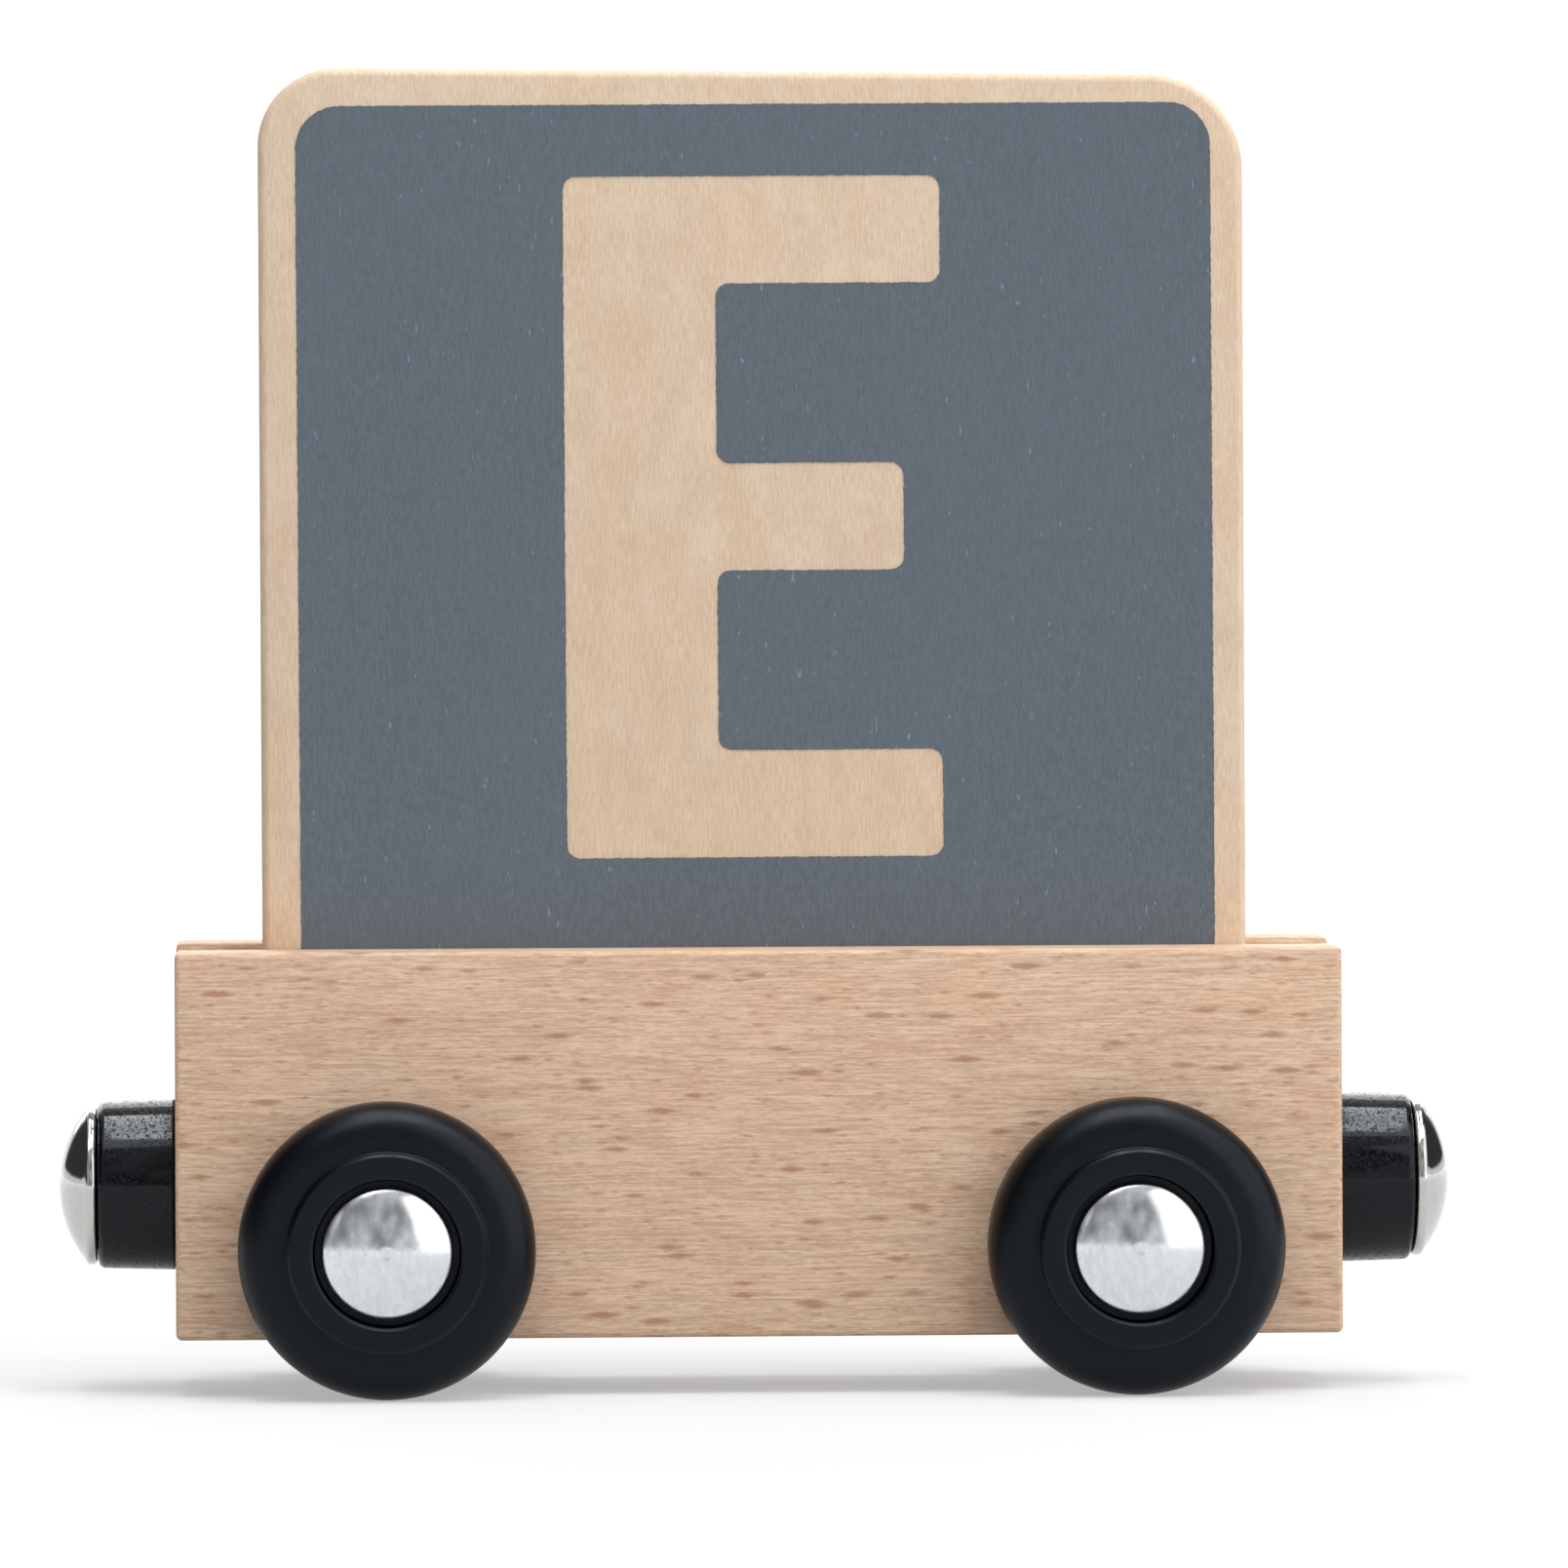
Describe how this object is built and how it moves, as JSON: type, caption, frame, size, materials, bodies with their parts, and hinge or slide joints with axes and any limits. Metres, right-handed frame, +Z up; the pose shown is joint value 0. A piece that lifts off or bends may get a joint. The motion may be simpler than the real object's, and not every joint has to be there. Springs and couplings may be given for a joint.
{
  "type": "wooden train letter wagon",
  "caption": "Toy train wagon: a grooved beech block carries an upright letter board, free-turning wheels on steel axles, and a magnetic coupler on a dome-headed nail at each end.",
  "frame": {"origin": "on the floor under the middle of the wagon, where the wheels stand", "axes": "+X along the wagon to its right end as the letter is read, +Y from the lettered face to the back, +Z up"},
  "size_m": [0.0962, 0.0332, 0.0911],
  "materials": {
    "beech": "sanded beech with fine lengthwise grain and short dark flecks, unvarnished",
    "face_ply": "sanded pale veneer with fine upright grain",
    "core_ply": "sanded crosswise veneer, end grain at the sides",
    "letter_paint": "thin satin slate-grey screen print on the veneer",
    "axle_steel": "drawn steel rod",
    "wheel_black": "satin black",
    "hub_cap_steel": "bright satin steel with faint turning marks",
    "sleeve_black": "semi-gloss black with a slightly rough skin",
    "magnet_ferrite": "dark grey sintered ferrite",
    "coupler_nickel": "polished nickel plate"
  },
  "bodies": {
    "chassis": {"chassis_block": "beech", "letter_board_front_ply": "face_ply", "letter_board_core_ply": "core_ply", "letter_board_back_ply": "face_ply", "left_axle": "axle_steel", "right_axle": "axle_steel", "hub_cap_front_left": "hub_cap_steel", "hub_cap_front_right": "hub_cap_steel", "hub_cap_back_left": "hub_cap_steel", "hub_cap_back_right": "hub_cap_steel", "left_coupler_nail": "coupler_nickel", "right_coupler_nail": "coupler_nickel"},
    "front_left_wheel": {"wheel_front_left": "wheel_black"},
    "front_right_wheel": {"wheel_front_right": "wheel_black"},
    "back_left_wheel": {"wheel_back_left": "wheel_black"},
    "back_right_wheel": {"wheel_back_right": "wheel_black"},
    "left_coupler": {"left_coupler_sleeve": "sleeve_black", "left_coupler_magnet": "magnet_ferrite"},
    "right_coupler": {"right_coupler_sleeve": "sleeve_black", "right_coupler_magnet": "magnet_ferrite"}
  },
  "joints": [
    {"name": "front_left_wheel_spin", "type": "hinge", "parent": "chassis", "child": "front_left_wheel", "pos_m": [-0.0256, -0.0125, 0.01015], "axis": [0, 1, 0], "continuous": true},
    {"name": "front_right_wheel_spin", "type": "hinge", "parent": "chassis", "child": "front_right_wheel", "pos_m": [0.0256, -0.0125, 0.01015], "axis": [0, 1, 0], "continuous": true},
    {"name": "back_left_wheel_spin", "type": "hinge", "parent": "chassis", "child": "back_left_wheel", "pos_m": [-0.0256, 0.0125, 0.01015], "axis": [0, 1, 0], "continuous": true},
    {"name": "back_right_wheel_spin", "type": "hinge", "parent": "chassis", "child": "back_right_wheel", "pos_m": [0.0256, 0.0125, 0.01015], "axis": [0, 1, 0], "continuous": true},
    {"name": "left_coupler_turn", "type": "hinge", "parent": "chassis", "child": "left_coupler", "pos_m": [-0.0427, 0, 0.01415], "axis": [1, 0, 0], "continuous": true},
    {"name": "right_coupler_turn", "type": "hinge", "parent": "chassis", "child": "right_coupler", "pos_m": [0.0427, 0, 0.01415], "axis": [1, 0, 0], "continuous": true}
  ]
}
